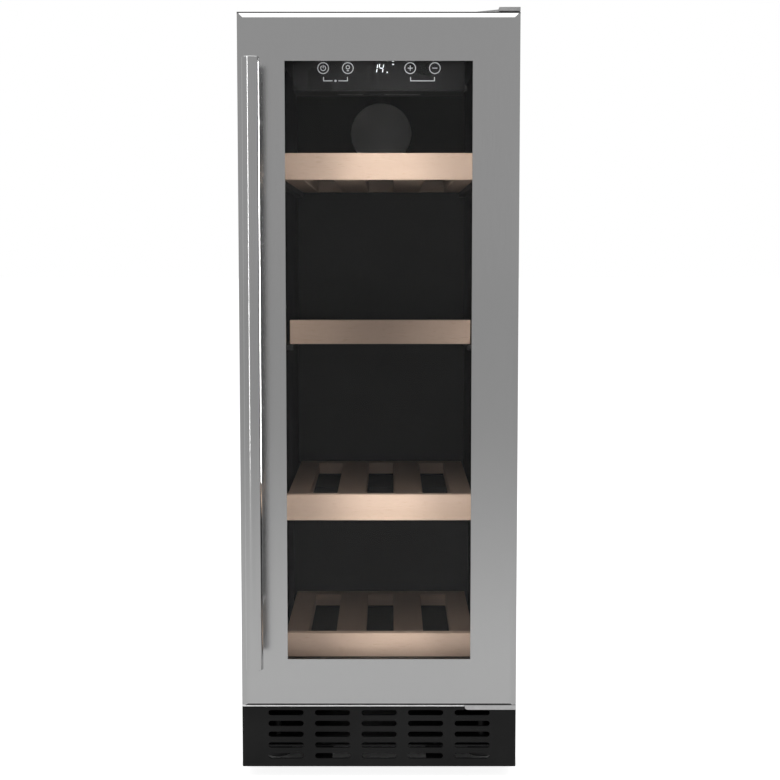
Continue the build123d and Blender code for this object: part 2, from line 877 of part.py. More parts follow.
def fan_frame(size, thick, bore):
    frame = Box(size, size, thick) - Cylinder(bore / 2, thick + 1)
    back = (thick - fan_plate) / 2
    motor = Pos(0, 0, back) * Cylinder(fan_hub_dia / 2 + 1, fan_plate)
    arm_long = bore / 2 - fan_hub_dia / 4
    for turn in (45, 135, 225, 315):
        place = Rot(0, 0, turn) * Pos((bore + fan_plate - arm_long) / 2, 0, back)
        motor += place * Box(arm_long, fan_arm, fan_plate)
    frame += motor
    corner = size / 2 - fan_screw_inset
    for sx in (-1, 1):
        for sy in (-1, 1):
            frame -= Pos(sx * corner, sy * corner, 0) * Cylinder(fan_screw_dia / 2, thick + 1)
    return frame - Cylinder(fan_shaft_dia / 2 + pin_clearance, thick + 2)


def fan_rotor(thick, bore):
    blade_thick = thick - fan_plate - 2 * fan_end_gap
    rotor = Pos(0, 0, -fan_plate / 2) * blade_ring(bore - 2 * fan_tip_gap, blade_thick)
    return rotor + Cylinder(fan_shaft_dia / 2, thick - 1)


def duct_fan_place():
    d = duct_front + duct_panel + duct_fan_thick / 2
    return Pos(0, front_y + d, fan_z) * Rot(-90, 0, 0)


def room_fan_place():
    z = base_top + room_fan_lift + room_fan_size / 2
    return Pos(room_fan_x(), front_y + room_middle, z) * Rot(0, 90, 0)


def room_fan_x():
    left = -half + sheet + room_gap + condenser_thick
    return left + room_fan_gap + room_fan_thick / 2


def fin_row(count, length, depth, high, passes):
    tube = serpentine(length, high, passes, fin_thick)
    fin = Box(fin_thick, depth, high)
    run = high / passes
    for number in range(passes):
        z = -high / 2 + run * (number + 0.5)
        fin -= Pos(0, 0, z) * Rot(0, 90, 0) * Cylinder(coil_tube_dia / 2, fin_thick + 2)
    span = length - 2 * run
    solids = [Pos(-span / 2 + span * i / (count - 1), 0, 0) * fin for i in range(count)]
    return group(solids + [tube])


def serpentine(length, high, passes, sink):
    run = high / passes
    reach = length / 2 - coil_tube_dia / 2 - sink
    bend = run / 2
    tube = None
    for number in range(passes):
        z = -high / 2 + run * (number + 0.5)
        straight = Pos(0, 0, z) * Rot(0, 90, 0) * Cylinder(coil_tube_dia / 2, 2 * (reach - bend))
        tube = straight if tube is None else tube + straight
        if number < passes - 1:
            side = 1 if number % 2 == 0 else -1
            end = Pos(side * (reach - bend), 0, z) * Rot(0, 90, 0) * Circle(coil_tube_dia / 2)
            turn = Axis((side * (reach - bend), 0, z + bend), (0, -side, 0))
            tube += revolve(end, turn, 180)
    return tube


def evaporator():
    d = (duct_front + duct_panel + cavity_back) / 2
    z = step_top + evaporator_lift + evaporator_height / 2
    coil = fin_row(evaporator_fins, evaporator_width, evaporator_depth, evaporator_height, coil_passes)
    return Pos(0, front_y + d, z) * coil


def condenser():
    x = -half + sheet + room_gap + condenser_thick / 2
    coil = fin_row(condenser_fins, condenser_depth, condenser_thick, condenser_height, coil_passes)
    z = base_top + condenser_lift + condenser_height / 2
    return Pos(x, front_y + room_middle, z) * Rot(0, 0, 90) * coil


def temperature_probe():
    x = cavity_half - probe_dia / 2 - probe_gap
    z = cavity_top - probe_dia / 2 - probe_gap
    back = duct_front - probe_setback
    front = back - probe_length
    foot = block(x, cavity_half, front + probe_foot_inset, back - probe_foot_inset,
                 z - probe_foot / 2, z + probe_foot / 2)
    return along_depth(probe_dia, x, z, front, back) + foot


# ---------------------------------------------------------------- machine room
def compressor_spot():
    return half - sheet - room_gap - compressor_foot_long / 2, room_middle


def mount_spots():
    x, d = compressor_spot()
    across = compressor_foot_long / 2 - mount_inset
    deep = compressor_foot_wide / 2 - mount_inset
    return [(x + sx * across, d + sd * deep) for sx in (-1, 1) for sd in (-1, 1)]


def compressor():
    x, d = compressor_spot()
    low = base_top + mount_height
    foot = block(x - compressor_foot_long / 2, x + compressor_foot_long / 2,
                 d - compressor_foot_wide / 2, d + compressor_foot_wide / 2, low, low + compressor_foot)
    for sx, sd in mount_spots():
        foot -= upright(mount_dia / 2, sx, sd, 0, height)
    can_low = low + compressor_foot
    can = upright(compressor_dia, x, d, can_low, can_low + compressor_height)
    ends = can.edges().filter_by(GeomType.CIRCLE).sort_by(Axis.Z)
    can = fillet([ends[-1]], compressor_dia * can_dome_share)
    seam_low = can_low + compressor_height * seam_share
    return foot + can + upright(compressor_dia + 2 * seam_proud, x, d, seam_low, seam_low + seam_height)


def compressor_mounts():
    mounts = []
    low = base_top + mount_height
    for x, d in mount_spots():
        mount = upright(mount_dia, x, d, base_top, low)
        mount += upright(mount_dia / 2, x, d, base_height, low + compressor_foot)
        cap_low = low + compressor_foot
        mounts.append(mount + upright(mount_dia, x, d, cap_low, cap_low + mount_cap))
    return group(mounts)


def compressor_top():
    return base_top + mount_height + compressor_foot + compressor_height


def drip_tray():
    x, d = compressor_spot()
    low = compressor_top() + tray_gap
    long, wide = compressor_foot_long / 2, compressor_foot_wide / 2
    outer = block(x - long, x + long, d - wide, d + wide, low, low + tray_height)
    inner = block(x - long + tray_wall, x + long - tray_wall, d - wide + tray_wall, d + wide - tray_wall,
                  low + tray_wall, low + tray_height + 1)
    stud = upright(tray_stud_dia, x, d, compressor_top(), low)
    return outer - inner + stud


def suction_spot():
    x, d = compressor_spot()
    return x - compressor_foot_long / 2 - room_gap, (duct_front + duct_panel + cavity_back) / 2


def suction_bore():
    x, d = suction_spot()
    return upright(pipe_dia + 2 * fit_gap, x, d, room_top - 2 * sheet, step_top + 1)


def bent_tube(dia, path):
    start = Plane(origin=path @ 0, z_dir=path % 0)
    return sweep(start * Circle(dia / 2), path=path)


def outside_compressor(pipe):
    x, d = compressor_spot()
    return pipe - upright(compressor_dia + 2 * seam_proud, x, d, 0, height)


def suction_pipe():
    x, d = suction_spot()
    can_x, can_d = compressor_spot()
    low = base_top + suction_level
    high = step_top + evaporator_lift
    path = FilletPolyline((can_x, front_y + can_d, low), (x, front_y + can_d, low),
                          (x, front_y + d, low + suction_slope), (x, front_y + d, high), radius=pipe_bend)
    return outside_compressor(bent_tube(pipe_dia, path))


def discharge_pipe():
    x, d = compressor_spot()
    level = compressor_top() - discharge_below_top
    end_y = front_y + room_middle - condenser_depth / 2 + discharge_inset
    front = end_y - discharge_inset
    end_x = -half + sheet + room_gap + condenser_thick / 2
    low = base_top + condenser_lift + condenser_height + 1
    path = FilletPolyline((x, front_y + d - discharge_start, level), (x - discharge_side, front, level),
                          (end_x, front, low + discharge_drop), (end_x, end_y, low), radius=thin_pipe_bend)
    return outside_compressor(bent_tube(thin_pipe_dia, path))


def inlet_middle():
    return half - inlet_from_side, base_top + inlet_lift


def inlet_body(gap):
    x, z = inlet_middle()
    across = inlet_width / 2 + gap
    high = inlet_height / 2 + gap
    return block(x - across, x + across, rear - inlet_depth, body_depth, z - high, z + high)


def power_inlet():
    x, z = inlet_middle()
    across = inlet_width / 2 - inlet_side_wall
    high = inlet_height / 2 - inlet_edge_wall
    floor = rear - inlet_depth + inlet_floor
    inlet = inlet_body(0) - block(x - across, x + across, floor, body_depth + 1, z - high, z + high)
    for step in (-inlet_pin_pitch, 0, inlet_pin_pitch):
        inlet += block(x + step - inlet_pin_width / 2, x + step + inlet_pin_width / 2, floor - 1,
                       body_depth - inlet_pin_setback, z - inlet_pin_height / 2, z + inlet_pin_height / 2)
    return inlet


# ---------------------------------------------------------------- control box
def control_housing():
    low = cavity_top - control_height
    front = fascia_front + fascia_thick
    back = fascia_front + control_depth
    box = block(-control_half, control_half, front, back, low, cavity_top)
    hollow = block(-control_half + housing_wall, control_half - housing_wall, front - 1, back - housing_wall,
                   low + housing_wall, cavity_top + 1)
    hole = block(-lens_width / 2, lens_width / 2, back - lens_back_gap - lens_depth, back - lens_back_gap,
                 low - 1, low + housing_wall + 1)
    return box - hollow - hole


def control_fascia():
    low = cavity_top - control_height
    plate = block(-control_half, control_half, fascia_front, fascia_front + fascia_thick, low, cavity_top)
    return fillet(plate.edges().filter_by(Axis.Y).sort_by(Axis.Z)[:2], 4.0)


def on_fascia(sketch):
    return Pos(0, front_y + fascia_front, 0) * Rot(90, 0, 0) * extrude(sketch, mark_thick)


def icon_ring(x, z):
    return Pos(x, z) * (Circle(icon_radius) - Circle(icon_radius - icon_line))


def bar(x, z, long, high):
    return Pos(x, z) * Rectangle(long, high)


def power_glyph(x, z):
    arc = Circle(power_radius) - Circle(power_radius - icon_line)
    arc -= Pos(0, power_radius) * Rectangle(power_break, power_radius)
    return Pos(x, z) * arc + bar(x, z + power_stem / 2, icon_line, power_stem)


def lamp_glyph(x, z):
    foot_z = z - bulb_radius - icon_line / 2
    bulb = Pos(x, z + icon_line) * (Circle(bulb_radius) - Circle(bulb_radius - icon_line))
    return bulb + bar(x, foot_z, bulb_foot, icon_line)


# a line that joins two icons from below; gap is half of its break in the middle
def bracket(x0, x1, z, gap):
    middle = (x0 + x1) / 2
    line = bar(middle, z, x1 - x0, icon_line)
    if gap:
        line -= bar(middle, z, 2 * gap, 2 * icon_line)
    for x in (x0 + icon_line / 2, x1 - icon_line / 2):
        line += bar(x, z + bracket_rise / 2, icon_line, bracket_rise + icon_line)
    return line


def touch_key_marks():
    z = cavity_top - icon_below_top
    sketches = [icon_ring(x, z) for x in icon_x]
    sketches.append(power_glyph(icon_x[0], z))
    sketches.append(lamp_glyph(icon_x[1], z))
    sketches.append(bar(icon_x[2], z, sign_length, icon_line) + bar(icon_x[2], z, icon_line, sign_length))
    sketches.append(bar(icon_x[3], z, sign_length, icon_line))
    low = z - bracket_drop
    sketches.append(bracket(icon_x[0], icon_x[1], low, bracket_gap))
    sketches.append(Pos((icon_x[0] + icon_x[1]) / 2, low) * RegularPolygon(small_sign / 2, 6))
    sketches.append(bracket(icon_x[2], icon_x[3], low, 0))
    solids = []
    for sketch in sketches:
        solids += on_fascia(sketch).solids()
    return group(solids)


# seven bars about the digit's middle: b and c stand on the right, f on the upper left, g lies across
def segment_digit(x, z, lit):
    reach = (digit_height - digit_stroke) / 2
    side = (digit_width - digit_stroke) / 2
    half_bar = reach - digit_stroke
    spots = {
        "g": (0, 0, digit_width - 2 * digit_stroke, digit_stroke),
        "f": (-side, reach / 2, digit_stroke, half_bar),
        "b": (side, reach / 2, digit_stroke, half_bar),
        "c": (side, -reach / 2, digit_stroke, half_bar),
    }
    place = Pos(x, z) * Rot(0, 0, -digit_slant)
    return [place * bar(*spots[letter]) for letter in lit]


def display_digits():
    z = cavity_top - icon_below_top
    marks = segment_digit(digit_x, z, "bc") + segment_digit(digit_x + digit_pitch, z, "fbgc")
    marks.append(Pos(digit_x + 2 * digit_pitch, z - digit_height / 2 + point_radius) * Circle(point_radius))
    for rise in unit_mark_rises:
        marks.append(bar(digit_x + 3 * digit_pitch, z + rise, unit_mark_width, digit_stroke))
    solids = []
    for sketch in marks:
        solids += on_fascia(sketch).solids()
    return group(solids)


def control_board():
    low = cavity_top - control_height
    front = fascia_front + fascia_thick
    face = front + board_thick
    side = control_half - housing_wall - board_inset
    board = block(-side, side, front, face, low + board_lift, cavity_top - board_inset)
    parts_low = low + parts_lift
    chip = block(-parts_spread / 2 - chip_width, -parts_spread / 2, face, face + chip_thick,
                 parts_low, parts_low + chip_height)
    relay = block(parts_spread / 2, parts_spread / 2 + relay_width, face, face + relay_thick,
                  parts_low, parts_low + relay_height)
    return board + chip + relay


# sits in its hole in the underside of the control box, a little above that face
def light_lens():
    low = cavity_top - control_height + lens_recess
    back = fascia_front + control_depth - lens_back_gap
    return block(-lens_width / 2, lens_width / 2, back - lens_depth, back, low, low + lens_thick)


# ---------------------------------------------------------------- shelves
def shelf_rail(z, front):
    rail = block(-shelf_half, shelf_half, front, front + rail_depth, z, z + rail_height)
    crown = rail.edges().filter_by(Axis.X).sort_by_distance((0, front, z + rail_height))[0]
    rail = fillet(crown, rail_crown)
    lower = rail.edges().filter_by(Axis.X).sort_by_distance((0, front, z))[0]
    return fillet(lower, rail_round)


def slat_spans():
    gap = (2 * shelf_half - 2 * edge_slat - 2 * slat_width) / 3
    inner = gap / 2
    outer = inner + slat_width
    return [(-shelf_half, -shelf_half + edge_slat), (-outer, -inner), (inner, outer),
            (shelf_half - edge_slat, shelf_half)]


def shelf_slats(z, front, back):
    top = z + slat_thick
    bar_front = back - back_bar_width
    solids = [block(x0, x1, front + rail_depth, bar_front, z, top) for x0, x1 in slat_spans()]
    return group(solids + [block(-shelf_half, shelf_half, bar_front, back, z, top)])


# ---------------------------------------------------------------- feet
def foot_spots():
    x = half - foot_side_inset
    front = shell_front + foot_front_inset
    back = rear - foot_rear_inset
    return {"front_left": (-x, front), "front_right": (x, front),
            "rear_left": (-x, back), "rear_right": (x, back)}


def levelling_foot(x, d):
    pad = upright(foot_dia, x, d, 0, foot_pad)
    pad = chamfer(pad.edges().filter_by(GeomType.CIRCLE), foot_bevel)
    nut = Pos(x, front_y + d, foot_pad) * extrude(RegularPolygon(foot_nut_radius, 6), foot_nut)
    return pad + nut + upright(foot_stud_dia, x, d, foot_pad, base_top + foot_stud_above)


# ---------------------------------------------------------------- every piece, one file each
pieces = {
    "door_skin": door_skin(),
    "door_core": door_core(),
    "outer_glass": glass_pane(outer_pane_front),
    "inner_glass": glass_pane(inner_pane_front),
    "glass_spacer": glass_spacer(),
    "door_inner_frame": door_inner_frame(),
    "door_gasket": door_gasket(),
    "handle_tube": handle_tube(),
    "handle_posts": handle_posts(),
    "handle_screws": handle_screws(),
    "hinge_bushes": hinge_bushes(),
    "top_hinge_plate": top_hinge_plate(),
    "bottom_hinge_plate": bottom_hinge_plate(),
    "hinge_pins": hinge_pins(),
    "hinge_screws": hinge_screws(),
    "plinth_grille": plinth_grille(),
    "plinth_trim": plinth_trim(),
    "plinth_screws": plinth_screws(),
    "outer_wrapper": outer_wrapper(),
    "back_panel": back_panel(),
    "rear_vent_cover": rear_vent_cover(),
    "rear_screws": rear_screws(),
    "base_plate": base_plate_sheet(),
    "machine_room_cover": machine_room_cover(),
    "insulation_foam": insulation_foam(),
    "inner_liner": inner_liner(),
    "front_frame": front_frame(),
    "duct_panel": duct_panel_sheet(),
    "filter_cover": filter_cover(),
    "evaporator": evaporator(),
    "duct_fan_frame": duct_fan_place() * fan_frame(duct_fan_size, duct_fan_thick, duct_fan_bore),
    "duct_fan_rotor": duct_fan_place() * fan_rotor(duct_fan_thick, duct_fan_bore),
    "temperature_probe": temperature_probe(),
    "compressor": compressor(),
    "compressor_mounts": compressor_mounts(),
    "drip_tray": drip_tray(),
    "condenser": condenser(),
    "condenser_fan_frame": room_fan_place() * fan_frame(room_fan_size, room_fan_thick, room_fan_bore),
    "condenser_fan_rotor": room_fan_place() * fan_rotor(room_fan_thick, room_fan_bore),
    "suction_pipe": suction_pipe(),
    "discharge_pipe": discharge_pipe(),
    "power_inlet": power_inlet(),
    "control_housing": control_housing(),
    "control_fascia": control_fascia(),
    "touch_key_marks": touch_key_marks(),
    "display_digits": display_digits(),
    "control_board": control_board(),
    "light_lens": light_lens(),
}
for name, z, front, back in shelves:
    pieces[name + "_shelf_rail"] = shelf_rail(z, front)
    pieces[name + "_shelf_slats"] = shelf_slats(z, front, back)
for name, (x, d) in foot_spots().items():
    pieces["foot_" + name] = levelling_foot(x, d)
for name, shape in pieces.items():
    save(name, shape)
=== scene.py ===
import json
import math
import bmesh
import bpy
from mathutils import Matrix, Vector


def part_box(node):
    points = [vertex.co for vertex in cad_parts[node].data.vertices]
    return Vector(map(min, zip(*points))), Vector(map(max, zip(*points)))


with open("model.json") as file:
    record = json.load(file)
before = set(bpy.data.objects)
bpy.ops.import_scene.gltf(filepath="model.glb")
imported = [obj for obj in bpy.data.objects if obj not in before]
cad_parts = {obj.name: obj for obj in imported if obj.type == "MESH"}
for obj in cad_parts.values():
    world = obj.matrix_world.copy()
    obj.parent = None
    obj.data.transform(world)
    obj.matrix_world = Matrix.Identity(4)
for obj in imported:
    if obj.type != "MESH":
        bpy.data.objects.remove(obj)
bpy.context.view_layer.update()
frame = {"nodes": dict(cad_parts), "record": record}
nodes = frame["nodes"]
scene = bpy.context.scene
print("frame loaded:", len(nodes), "nodes")


def low(node):
    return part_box(node)[0]


def high(node):
    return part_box(node)[1]


# the eye stands below the top of the door, a little to the right, and looks slightly down
cameraSet = {
    "lens": 74.05, "sensor": 36, "right": 0.0118, "distance": 1.688, "belowTop": 0.2444, "tiltDown": 5.0,
}
doorFront = low("door_skin").y
doorTop = high("door_skin").z
cameraData = bpy.data.cameras.new("frontCamera")
cameraData.lens = cameraSet["lens"]
cameraData.sensor_width = cameraSet["sensor"]
camera = bpy.data.objects.new("frontCamera", cameraData)
camera.location = (cameraSet["right"], doorFront - cameraSet["distance"], doorTop - cameraSet["belowTop"])
camera.rotation_euler = (math.radians(90 - cameraSet["tiltDown"]), 0, 0)
scene.collection.objects.link(camera)
scene.camera = camera
scene.view_settings.view_transform = "Standard"
print("camera placed")


def newMaterial(name):
    material = bpy.data.materials.new(name)
    material.use_nodes = True
    tree = material.node_tree
    return material, tree, tree.nodes["Principled BSDF"]


def addNode(tree, kind, **values):
    node = tree.nodes.new(kind)
    for key, value in values.items():
        setattr(node, key, value)
    return node


def mapped(tree, stretch=(1, 1, 1)):
    coordinates = addNode(tree, "ShaderNodeTexCoord")
    mapping = addNode(tree, "ShaderNodeMapping")
    mapping.inputs["Scale"].default_value = stretch
    tree.links.new(coordinates.outputs["Object"], mapping.inputs["Vector"])
    return mapping.outputs["Vector"]


def noise(tree, vector, scale, detail=3.0, roughness=0.5):
    texture = addNode(tree, "ShaderNodeTexNoise")
    texture.inputs["Scale"].default_value = scale
    texture.inputs["Detail"].default_value = detail
    texture.inputs["Roughness"].default_value = roughness
    tree.links.new(vector, texture.inputs["Vector"])
    return texture.outputs["Fac"]


def cellular(tree, vector, scale):
    texture = addNode(tree, "ShaderNodeTexVoronoi")
    texture.inputs["Scale"].default_value = scale
    tree.links.new(vector, texture.inputs["Vector"])
    return texture


def remap(tree, value, newLow, newHigh, oldLow=0.0, oldHigh=1.0):
    node = addNode(tree, "ShaderNodeMapRange")
    tree.links.new(value, node.inputs["Value"])
    spans = (("From Min", oldLow), ("From Max", oldHigh), ("To Min", newLow), ("To Max", newHigh))
    for key, number in spans:
        node.inputs[key].default_value = number
    return node.outputs["Result"]


def combine(tree, operation, first, second, clamp=False):
    node = addNode(tree, "ShaderNodeMath", operation=operation, use_clamp=clamp)
    tree.links.new(first, node.inputs[0])
    tree.links.new(second, node.inputs[1])
    return node.outputs[0]


def mixColour(tree, factor, first, second):
    node = addNode(tree, "ShaderNodeMix", data_type="RGBA")
    tree.links.new(factor, node.inputs["Factor"])
    for key, colour in (("A", first), ("B", second)):
        socket = [s for s in node.inputs if s.name == key and s.type == "RGBA"][0]
        if isinstance(colour, bpy.types.NodeSocket):
            tree.links.new(colour, socket)
        else:
            socket.default_value = (*colour, 1)
    return [s for s in node.outputs if s.type == "RGBA"][0]


def bump(tree, height, strength, distance):
    node = addNode(tree, "ShaderNodeBump")
    node.inputs["Strength"].default_value = strength
    node.inputs["Distance"].default_value = distance
    tree.links.new(height, node.inputs["Height"])
    return node.outputs["Normal"]


def shaded(colour, factor):
    return tuple(c * factor for c in colour)


def lifted(colour, amount):
    return tuple(min(1.0, c + amount) for c in colour)


# the part of a noise's range that is stretched over the whole of a value
wideBand = (0.3, 0.7)
narrowBand = (0.35, 0.65)


def newGroup(name, inputs, outputs):
    group = bpy.data.node_groups.new(name, "ShaderNodeTree")
    for label, kind, value in inputs:
        socket = group.interface.new_socket(label, in_out="INPUT", socket_type=kind)
        if value is not None:
            socket.default_value = value
    for label in outputs:
        group.interface.new_socket(label, in_out="OUTPUT", socket_type="NodeSocketFloat")
    return group, group.nodes.new("NodeGroupInput"), group.nodes.new("NodeGroupOutput")


brushing = {"fineness": 900.0, "streakLength": 60.0, "detail": 4.0, "crispness": 0.62, "patchScale": 9.0}


def makeBrushedGroup():
    # long fine scratches along the height, with slow patches between them
    group, start, end = newGroup(
        "brushedMetal",
        [("Vector", "NodeSocketVector", None), ("Fineness", "NodeSocketFloat", brushing["fineness"]),
         ("Streak Length", "NodeSocketFloat", brushing["streakLength"])],
        ["Streaks", "Patches"])
    stretch = group.nodes.new("ShaderNodeCombineXYZ")
    group.links.new(start.outputs["Fineness"], stretch.inputs["X"])
    group.links.new(start.outputs["Fineness"], stretch.inputs["Y"])
    along = combine(group, "DIVIDE", start.outputs["Fineness"], start.outputs["Streak Length"])
    group.links.new(along, stretch.inputs["Z"])
    scaled = addNode(group, "ShaderNodeVectorMath", operation="MULTIPLY")
    group.links.new(start.outputs["Vector"], scaled.inputs[0])
    group.links.new(stretch.outputs[0], scaled.inputs[1])
    streaks = noise(group, scaled.outputs[0], 1.0, brushing["detail"], brushing["crispness"])
    patches = noise(group, start.outputs["Vector"], brushing["patchScale"], 2.0)
    group.links.new(streaks, end.inputs["Streaks"])
    group.links.new(patches, end.inputs["Patches"])
    return group


moulding = {"grainScale": 1600.0, "cloudScale": 14.0}


def makeGrainGroup():
    # the fine leathery grain of moulded plastic, and a slow unevenness
    group, start, end = newGroup(
        "mouldedGrain",
        [("Vector", "NodeSocketVector", None), ("Grain Scale", "NodeSocketFloat", moulding["grainScale"])],
        ["Grain", "Cloud"])
    cells = cellular(group, start.outputs["Vector"], 1.0)
    cells.feature = "SMOOTH_F1"
    group.links.new(start.outputs["Grain Scale"], cells.inputs["Scale"])
    cloud = noise(group, start.outputs["Vector"], moulding["cloudScale"])
    group.links.new(cells.outputs["Distance"], end.inputs["Grain"])
    group.links.new(cloud, end.inputs["Cloud"])
    return group


dusting = {"patchScale": 6.0, "patchBand": (0.42, 0.75), "speckScale": 420.0, "amount": 0.3}


def makeDustGroup():
    # a thin film that gathers in soft patches
    group, start, end = newGroup(
        "dustFilm",
        [("Vector", "NodeSocketVector", None), ("Amount", "NodeSocketFloat", dusting["amount"])],
        ["Dust"])
    broad = noise(group, start.outputs["Vector"], dusting["patchScale"], 4.0, 0.6)
    fine = noise(group, start.outputs["Vector"], dusting["speckScale"], 2.0)
    patches = remap(group, broad, 0, 1, *dusting["patchBand"])
    both = combine(group, "MULTIPLY", patches, fine)
    dust = combine(group, "MULTIPLY", both, start.outputs["Amount"], clamp=True)
    group.links.new(dust, end.inputs["Dust"])
    return group


brushedGroup = makeBrushedGroup()
grainGroup = makeGrainGroup()
dustGroup = makeDustGroup()
print("shared effects made")


def useGroup(tree, group, vector, **values):
    node = tree.nodes.new("ShaderNodeGroup")
    node.node_tree = group
    tree.links.new(vector, node.inputs["Vector"])
    for key, value in values.items():
        node.inputs[key].default_value = value
    return node


steel = {
    "tone": (0.56, 0.56, 0.56), "darker": 0.96, "fineness": 2600.0, "patchSwing": 0.02,
    "relief": 0.006, "bumpDepth": 0.0002,
}


def brushedMetal(name, roughness, spread):
    material, tree, shader = newMaterial(name)
    grain = useGroup(tree, brushedGroup, mapped(tree), Fineness=steel["fineness"])
    streaks = grain.outputs["Streaks"]
    tint = mixColour(tree, remap(tree, streaks, 0, 1, *wideBand),
                     shaded(steel["tone"], steel["darker"]), steel["tone"])
    tree.links.new(tint, shader.inputs["Base Color"])
    shader.inputs["Metallic"].default_value = 1.0
    swing = steel["patchSwing"]
    rough = combine(tree, "ADD", remap(tree, streaks, roughness - spread, roughness + spread, *wideBand),
                    remap(tree, grain.outputs["Patches"], -swing, swing, *wideBand))
    tree.links.new(rough, shader.inputs["Roughness"])
    tree.links.new(bump(tree, streaks, steel["relief"], steel["bumpDepth"]), shader.inputs["Normal"])
    return material


plating = {
    "patchScale": 120.0, "darker": 0.85, "smoother": 0.06, "rougher": 0.08,
    "speckScale": 900.0, "relief": 0.05, "bumpDepth": 0.0002,
}


def platedMetal(name, colour, roughness):
    material, tree, shader = newMaterial(name)
    vector = mapped(tree)
    patches = noise(tree, vector, plating["patchScale"], 4.0, 0.6)
    tint = mixColour(tree, remap(tree, patches, 0, 1, *narrowBand), shaded(colour, plating["darker"]), colour)
    tree.links.new(tint, shader.inputs["Base Color"])
    smooth, coarse = roughness - plating["smoother"], roughness + plating["rougher"]
    rough = remap(tree, patches, smooth, coarse, *wideBand)
    tree.links.new(rough, shader.inputs["Roughness"])
    shader.inputs["Metallic"].default_value = 1.0
    specks = noise(tree, vector, plating["speckScale"], 2.0)
    tree.links.new(bump(tree, specks, plating["relief"], plating["bumpDepth"]), shader.inputs["Normal"])
    return material


spangle = {
    "scale": 120.0, "dark": (0.46, 0.47, 0.49), "light": (0.55, 0.56, 0.58), "roughness": (0.34, 0.5),
    "relief": 0.04, "bumpDepth": 0.0003,
}


def galvanisedSheet(name):
    # flat zinc crystals, each of its own grey
    material, tree, shader = newMaterial(name)
    cells = cellular(tree, mapped(tree), spangle["scale"])
    split = tree.nodes.new("ShaderNodeSeparateColor")
    tree.links.new(cells.outputs["Color"], split.inputs["Color"])
    crystal = split.outputs["Red"]
    tree.links.new(mixColour(tree, crystal, spangle["dark"], spangle["light"]), shader.inputs["Base Color"])
    tree.links.new(remap(tree, crystal, *spangle["roughness"]), shader.inputs["Roughness"])
    shader.inputs["Metallic"].default_value = 1.0
    tree.links.new(bump(tree, crystal, spangle["relief"], spangle["bumpDepth"]), shader.inputs["Normal"])
    return material


plasticLook = {
    "lighter": 1.25, "lift": 0.002, "dustLift": 0.03, "smoother": 0.04, "rougher": 0.05,
    "bumpDepth": 0.0003,
}


def mouldedPlastic(name, colour, roughness, relief=0.12, dust=0.15, gloss=0.5):
    material, tree, shader = newMaterial(name)
    vector = mapped(tree)
    grain = useGroup(tree, grainGroup, vector, **{"Grain Scale": moulding["grainScale"]})
    film = useGroup(tree, dustGroup, vector, Amount=dust)
    cloud = grain.outputs["Cloud"]
    lighter = lifted(shaded(colour, plasticLook["lighter"]), plasticLook["lift"])
    body = mixColour(tree, remap(tree, cloud, 0, 1, *narrowBand), colour, lighter)
    dusty = lifted(colour, plasticLook["dustLift"])
    tree.links.new(mixColour(tree, film.outputs["Dust"], body, dusty), shader.inputs["Base Color"])
    smooth, coarse = roughness - plasticLook["smoother"], roughness + plasticLook["rougher"]
    tree.links.new(remap(tree, cloud, smooth, coarse, *wideBand), shader.inputs["Roughness"])
    grainBump = bump(tree, grain.outputs["Grain"], relief, plasticLook["bumpDepth"])
    tree.links.new(grainBump, shader.inputs["Normal"])
    shader.inputs["Specular IOR Level"].default_value = gloss
    return material


coat = {
    "peelScale": 700.0, "dust": 0.12, "dustLift": 0.04, "swing": 0.05, "relief": 0.16, "bumpDepth": 0.0004,
}


def powderCoat(name, colour, roughness):
    material, tree, shader = newMaterial(name)
    vector = mapped(tree)
    orangePeel = noise(tree, vector, coat["peelScale"], 2.0, 0.4)
    film = useGroup(tree, dustGroup, vector, Amount=coat["dust"])
    dusty = lifted(colour, coat["dustLift"])
    tree.links.new(mixColour(tree, film.outputs["Dust"], colour, dusty), shader.inputs["Base Color"])
    rough = remap(tree, orangePeel, roughness - coat["swing"], roughness + coat["swing"], *wideBand)
    tree.links.new(rough, shader.inputs["Roughness"])
    tree.links.new(bump(tree, orangePeel, coat["relief"], coat["bumpDepth"]), shader.inputs["Normal"])
    return material


rubber = {
    "colour": (0.02, 0.02, 0.02), "bloom": 0.02, "cloudScale": 60.0, "bloomBand": (0.4, 0.7),
    "roughness": (0.6, 0.8), "grainScale": 1200.0, "relief": 0.15, "bumpDepth": 0.0002,
}


def softRubber(name):
    material, tree, shader = newMaterial(name)
    vector = mapped(tree)
    cloud = noise(tree, vector, rubber["cloudScale"], 4.0)
    tint = mixColour(tree, remap(tree, cloud, 0, 1, *rubber["bloomBand"]), rubber["colour"],
                     lifted(rubber["colour"], rubber["bloom"]))
    tree.links.new(tint, shader.inputs["Base Color"])
    tree.links.new(remap(tree, cloud, *rubber["roughness"]), shader.inputs["Roughness"])
    grain = noise(tree, vector, rubber["grainScale"], 2.0)
    tree.links.new(bump(tree, grain, rubber["relief"], rubber["bumpDepth"]), shader.inputs["Normal"])
    return material


foam = {
    "dark": (0.72, 0.60, 0.34), "light": (0.86, 0.77, 0.52), "cloudScale": 20.0, "cellScale": 900.0,
    "roughness": 0.9, "relief": 0.4, "bumpDepth": 0.0006,
}


def closedCellFoam(name):
    material, tree, shader = newMaterial(name)
    vector = mapped(tree)
    cells = cellular(tree, vector, foam["cellScale"])
    cloud = noise(tree, vector, foam["cloudScale"])
    tree.links.new(mixColour(tree, cloud, foam["dark"], foam["light"]), shader.inputs["Base Color"])
    shader.inputs["Roughness"].default_value = foam["roughness"]
    cellBump = bump(tree, cells.outputs["Distance"], foam["relief"], foam["bumpDepth"])
    tree.links.new(cellBump, shader.inputs["Normal"])
    return material


# the panes mirror the pale floor on four faces, so a low bending index keeps that haze down
glass = {"tint": (0.93, 0.93, 0.93), "index": 1.16}


